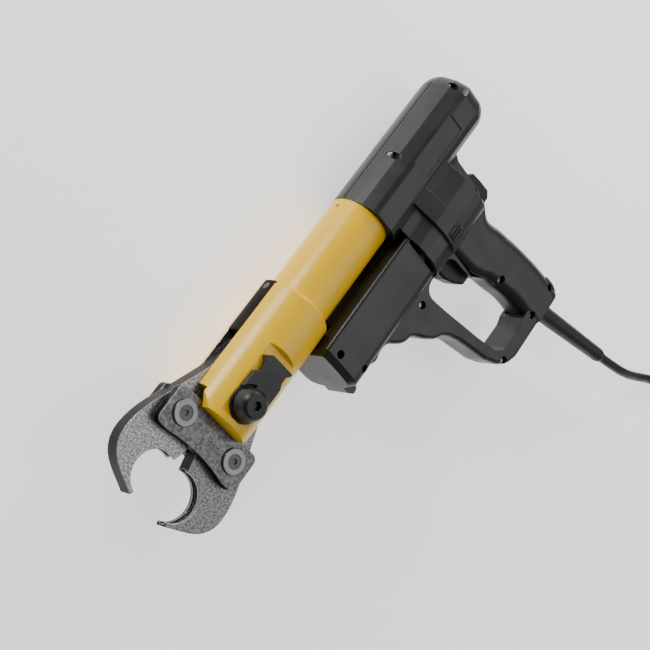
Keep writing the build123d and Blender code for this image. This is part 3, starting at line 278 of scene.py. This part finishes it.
def forged_skin(name, low, high, scale, bore=None):
    """Mottled oiled steel; upright faces are black, but for those within reach of the bore's centre."""
    material, tree, shader = new_material(name, (0.3, 0.3, 0.3), 0.42, 0.9)
    low_tone = (low, low, low * 1.03)
    high_tone = (high, high, high * 1.01)
    mottled = ramp(tree, noise(tree, scale, 6, 0.62), 0.40, 0.62, low_tone, high_tone)
    bare = map_range(tree, calculate(tree, "ABSOLUTE", split(tree, "Normal")["Z"]), 0.15, 0.45)
    if bore:
        place = tree.nodes.new("ShaderNodeTexCoord")
        away = tree.nodes.new("ShaderNodeVectorMath")
        away.operation = "DISTANCE"
        away.inputs[1].default_value = bore
        tree.links.new(place.outputs["Object"], away.inputs[0])
        near = map_range(tree, away.outputs["Value"], *BORE_REACH)
        bare = calculate(tree, "MAXIMUM", bare, near)
    black = ramp(tree, noise(tree, 260, 5), 0.35, 0.7, BLACK_LOW, BLACK_HIGH)
    rounded = round_edges(tree, 0.0008)
    skin = mix_colours(tree, bare, black, mottled)
    # Near-white lines along the edges: partly wear, partly a painted highlight.
    worn_and_highlit = mix_colours(tree, edge_share(tree, rounded, 0.8), skin, WORN_EDGE_AND_HIGHLIGHT)
    tree.links.new(worn_and_highlit, shader.inputs["Base Color"])
    tree.links.new(map_range(tree, bare, 0.0, 1.0, 0.0, 0.9), shader.inputs["Metallic"])
    tree.links.new(map_range(tree, bare, 0.0, 1.0, 0.10, 0.5), shader.inputs["Specular IOR Level"])
    vary(tree, noise(tree, 700, 5), shader.inputs["Roughness"], 0.30, 0.46)
    bump(tree, shader, noise(tree, 1100, 5), 0.3, 0.00015, rounded)
    return material


dress(forged_skin("forged_left_jaw", 0.13, 0.48, 560, at(BORE_CENTRE_X, -BORE_OFFSET_Y, 0)), "left_jaw")
dress(forged_skin("forged_right_jaw", 0.09, 0.30, 560, at(BORE_CENTRE_X, BORE_OFFSET_Y, 0)), "right_jaw")
dress(forged_skin("rolled_plate", 0.08, 0.19, 330), "upper_side_plate", "lower_side_plate")


# ---- Pins, washers and screws
# Turned from bar; the pins' washers are dulled by oil and their socket screws blackened.
# The housing's screws are bright and sit deep in their wells.
def machined(name, base, roughness, scale):
    """Turned or cast metal with faint tone marks, scale in waves per metre."""
    material, tree, shader = new_material(name, base, roughness, 1.0)
    darker = tuple(c * 0.8 for c in base)
    tree.links.new(ramp(tree, noise(tree, scale, 6), 0.3, 0.7, darker, base), shader.inputs["Base Color"])
    vary(tree, noise(tree, scale * 2, 5), shader.inputs["Roughness"], roughness - 0.07, roughness + 0.08)
    bump(tree, shader, noise(tree, scale * 6, 3), 0.1, 0.0001, round_edges(tree, 0.0005))
    return material


BRIGHT = machined("bright_steel", (0.40, 0.40, 0.41), 0.26, 120)
dress(BRIGHT, "jaw_pins", "roller_pins", "housing_screws", "jaw_spring")
dress(machined("dull_steel", (0.24, 0.24, 0.245), 0.32, 200), "pin_washers")
dress(machined("blackened_steel", (0.10, 0.10, 0.104), 0.35, 150), "pin_screws", "cover_screws")


# ---- Rollers, ram and pump
# Ground steel parts that run in oil, in a die-cast pump block behind the cylinder.
# The gland that guides the ram is brass, and the springs are wound from bright wire.
CAST = machined("die_cast", (0.5, 0.5, 0.51), 0.5, 90)
BRASS = machined("brass", (0.68, 0.48, 0.2), 0.33, 140)
dress(BRIGHT, "ram", "left_roller", "right_roller", "piston", "pump_plunger")
dress(BRIGHT, "return_spring", "catch_spring", "trigger_spring", "release_spring")
dress(CAST, "pump_block", "release_valve")
dress(BRASS, "rod_gland")


# ---- Gear train
# Cut steel gears on hardened shafts, between the motor and the pump.
# They are held between a die-cast carrier and its cover.
dress(BRIGHT, "pump_shaft", "pump_gear", "idler_shaft", "idler_gear", "motor_pinion", "pump_shaft_bearings")
dress(CAST, "gear_carrier", "gear_cover")


# ---- Motor
# Iron cores wound with lacquered wire, a copper commutator and brass brush holders.
# Steel ball bearings carry the armature at both ends.
dress(machined("wound_iron", (0.3, 0.2, 0.13), 0.5, 200), "armature", "motor_stator")
dress(machined("copper", (0.7, 0.33, 0.17), 0.3, 140), "commutator")
dress(BRASS, "brush_holders")
dress(BRIGHT, "motor_bearings")


# ---- Mains cord
# Rubber-sheathed lead in a long tapered boot, with a moulded plug on its far end.
# Its put-away length lies beside the tool as a coil, the plug on top.
CORD_D = 9.6
FLOOR_Z = -42.9
LIE_Z = FLOOR_Z + CORD_D / 2
COIL_X = -482.0
COIL_Y = 492.0
OUTER_TURN = 67.4
INNER_TURN = 37.2
FIRST_LAYER = 2.85
RISE = 0.3
TURNS = 6.3
POINTS_PER_TURN = 20
START_ANGLE = 20.0
LEAD_ROUTE = [
    (-332.5, 333.0, -5.0),
    (-340.4, 359.8, -6.2),
    (-354.0, 388.0, -14.0),
    (-371.0, 414.0, -25.0),
    (-390.0, 441.0, -35.5),
    (-406.0, 470.0, LIE_Z),
    (-414.0, 498.0, LIE_Z),
]
TAIL_ROUTE = [
    (COIL_X - 41.5, COIL_Y + 53.1, FLOOR_Z + 14.4),
    (COIL_X - 55.4, COIL_Y + 32.0, FLOOR_Z + 17.5),
    (COIL_X - 60.4, COIL_Y + 8.5, FLOOR_Z + 25.0),
    (COIL_X - 54.0, COIL_Y - 14.0, FLOOR_Z + 33.0),
    (COIL_X - 40.0, COIL_Y - 31.0, FLOOR_Z + 36.4),
    (COIL_X - 22.0, COIL_Y - 37.0, FLOOR_Z + 37.2),
    (COIL_X - 6.0, COIL_Y - 37.0, FLOOR_Z + 37.2),
]


def cord_rubber():
    material, tree, shader = new_material("cord_rubber", (0.008, 0.008, 0.0085), 0.48)
    vary(tree, noise(tree, 80, 4), shader.inputs["Roughness"], 0.42, 0.56)
    bump(tree, shader, noise(tree, 900, 3), 0.12, 0.0001)
    return material


def coil_route():
    """Spiral in over the floor, one step up near the middle, and out again on top."""
    points = []
    second = FIRST_LAYER + RISE
    first_end = OUTER_TURN - CORD_D * FIRST_LAYER
    for i in range(1, round(TURNS * POINTS_PER_TURN)):
        turn = i / POINTS_PER_TURN
        if turn <= FIRST_LAYER:
            radius = OUTER_TURN - CORD_D * turn
            height = LIE_Z
        elif turn < second:
            share = (turn - FIRST_LAYER) / RISE
            radius = first_end + (INNER_TURN - first_end) * share
            height = LIE_Z + CORD_D * share * share * (3 - 2 * share)
        else:
            radius = INNER_TURN + CORD_D * (turn - second)
            height = LIE_Z + CORD_D
        angle = math.radians(START_ANGLE + 360 * turn)
        points.append((COIL_X + radius * math.cos(angle), COIL_Y + radius * math.sin(angle), height))
    return points


RUBBER = cord_rubber()
dress(RUBBER, "cord_boot", "mains_plug", "oil_reservoir", "piston_seal")

route = LEAD_ROUTE + coil_route() + TAIL_ROUTE
line = bpy.data.curves.new("mains_cord", "CURVE")
line.dimensions = "3D"
spline = line.splines.new("NURBS")
spline.points.add(len(route) - 1)
for point, place in zip(spline.points, route):
    point.co = (*at(*place), 1)
spline.order_u = 3
spline.use_endpoint_u = True
line.bevel_depth = CORD_D / 2000
line.bevel_resolution = 6
line.resolution_u = 6
line.use_fill_caps = True
line.materials.append(RUBBER)
cord = bpy.data.objects.new("mains_cord", line)
bpy.context.scene.collection.objects.link(cord)
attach(cord, "drive_unit")
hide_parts("cord_lead", "cord_tail", "cord_coil")


# ---- Camera
# A long lens looks down on the knob's side of the tool, from ahead of it.
# The tool's axis runs across the view, with the jaws at the lower left.
RIGHT = Vector((-0.54599, 0.56703, 0.61674))
UP = Vector((-0.74794, -0.66158, -0.05388))
BACK = Vector((0.37747, -0.49070, 0.78532))
LENS = 71.88

optics = bpy.data.cameras.new("camera")
optics.sensor_width = 36
optics.lens = LENS
optics.clip_end = 20
view = bpy.data.objects.new("camera", optics)
placed = Matrix((RIGHT, UP, BACK)).transposed().to_4x4()
placed.translation = at(307.96, -512.48, 876.28)
view.matrix_world = placed
bpy.context.scene.collection.objects.link(view)
bpy.context.scene.camera = view


# ---- Lamps and floor
# The tool lies on a sheet of white paper, which is lit a little from within.
# Three square soft lamps stand round it in a pale room.
LAMP_TARGET = at(-120, 60, 0)
ROOM_LIGHT = 0.22
PAPER_GLOW = 0.95


def lamp(name, side, up, back, distance, size, watts):
    """Square soft lamp, placed by the camera's own right, up and back."""
    light = bpy.data.lights.new(name, "AREA")
    light.shape = "SQUARE"
    light.size = size
    light.energy = watts
    direction = (RIGHT * side + UP * up + BACK * back).normalized()
    stand = bpy.data.objects.new(name, light)
    stand.location = LAMP_TARGET + direction * distance
    stand.rotation_euler = direction.to_track_quat("Z", "Y").to_euler()
    bpy.context.scene.collection.objects.link(stand)


lamp("key", -0.30, 0.86, 0.55, 1.7, 0.55, 18)
lamp("sky", 0.97, -0.09, 0.35, 1.7, 1.5, 10)
lamp("rear", 0.7, 0.75, 0.0, 1.6, 0.5, 11)

world = bpy.data.worlds.new("studio")
world.use_nodes = True
world.node_tree.nodes["Background"].inputs["Color"].default_value = (1, 1, 1, 1)
world.node_tree.nodes["Background"].inputs["Strength"].default_value = ROOM_LIGHT
bpy.context.scene.world = world

bpy.ops.object.select_all(action="DESELECT")
bpy.ops.mesh.primitive_plane_add(size=8, location=(0, 0, 0))
floor = bpy.context.object
floor.name = "floor"
floor_paper, _, paper = new_material("white_paper", (0.95, 0.95, 0.95), 0.8)
paper.inputs["Emission Color"].default_value = (1, 1, 1, 1)
paper.inputs["Emission Strength"].default_value = PAPER_GLOW
floor.data.materials.append(floor_paper)
